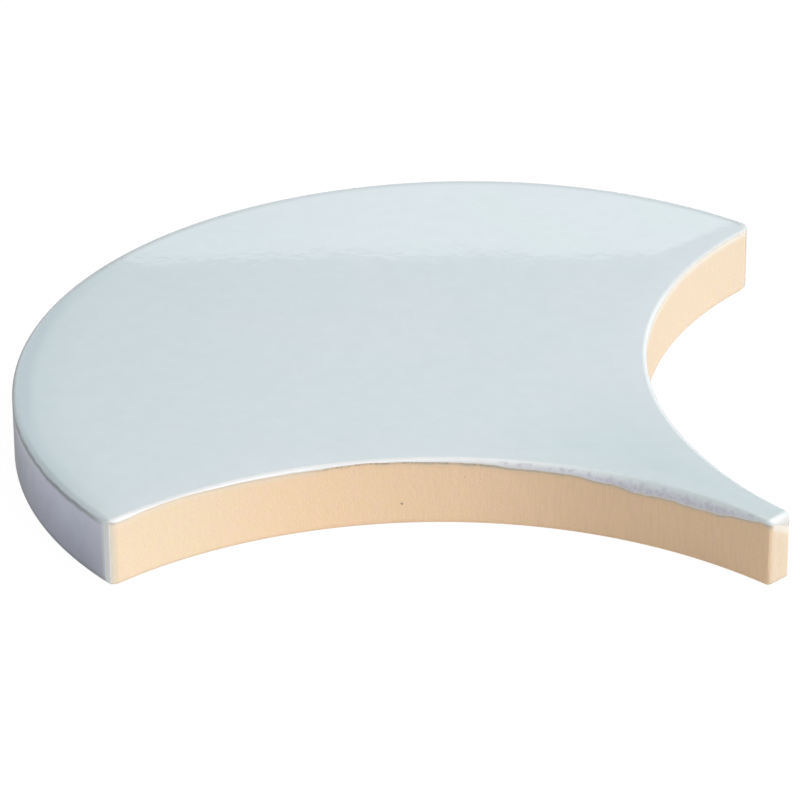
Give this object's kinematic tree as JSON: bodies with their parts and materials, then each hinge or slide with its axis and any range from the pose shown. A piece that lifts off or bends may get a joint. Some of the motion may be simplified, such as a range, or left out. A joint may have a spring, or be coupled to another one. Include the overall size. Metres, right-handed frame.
{
  "type": "fish scale tile",
  "caption": "Glazed ceramic fish scale wall tile with a round head, two hollow sides that nest on neighbouring heads, and a blunt tail.",
  "frame": {"origin": "centre of the round head's arc, on the back face", "axes": "+Z out of the glazed face, -Y along the tail, +X to the right seen from the glazed side"},
  "size_m": [0.1264, 0.1215, 0.01],
  "materials": {
    "glaze": "gloss",
    "bisque": "matt"
  },
  "bodies": {
    "root": {"tile": "glaze"}
  },
  "joints": []
}
